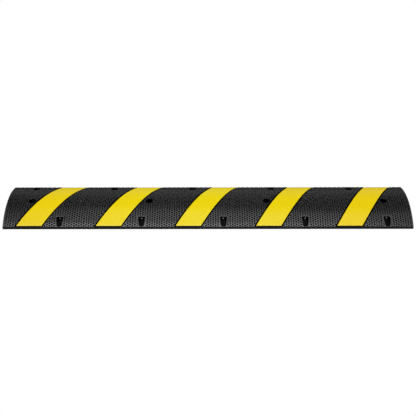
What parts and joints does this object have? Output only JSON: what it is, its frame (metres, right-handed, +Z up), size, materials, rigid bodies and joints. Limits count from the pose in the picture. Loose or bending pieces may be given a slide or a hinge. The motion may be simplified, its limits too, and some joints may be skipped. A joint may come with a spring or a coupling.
{
  "type": "rubber speed bump",
  "caption": "Long low crowned rubber speed bump with slanted yellow reflective tape stripes, bead reflectors in tapered edge pockets and recessed bolt holes.",
  "frame": {"origin": "middle of the underside, on the road surface", "axes": "+X along the bump's length, +Y across it in the direction of travel, +Z up from the road"},
  "size_m": [1.8288, 0.2776, 0.047],
  "materials": {
    "rubber": "moulded recycled rubber, satin, dimpled tread",
    "tape": "yellow reflective tape, semi gloss, fine bead texture",
    "lens": "clear pressed glass bead",
    "cup": "bright drawn cup"
  },
  "bodies": {
    "root": {"reflector_cup_front_1": "cup", "reflector_cup_front_2": "cup", "reflector_cup_front_3": "cup", "reflector_cup_front_4": "cup", "reflector_cup_front_5": "cup", "reflector_cup_rear_1": "cup", "reflector_cup_rear_2": "cup", "reflector_cup_rear_3": "cup", "reflector_cup_rear_4": "cup", "reflector_cup_rear_5": "cup", "reflector_lens_front_1": "lens", "reflector_lens_front_2": "lens", "reflector_lens_front_3": "lens", "reflector_lens_front_4": "lens", "reflector_lens_front_5": "lens", "reflector_lens_rear_1": "lens", "reflector_lens_rear_2": "lens", "reflector_lens_rear_3": "lens", "reflector_lens_rear_4": "lens", "reflector_lens_rear_5": "lens", "rubber_body": "rubber", "tape_stripe_1": "tape", "tape_stripe_2": "tape", "tape_stripe_3": "tape", "tape_stripe_4": "tape", "tape_stripe_5": "tape"}
  },
  "joints": []
}
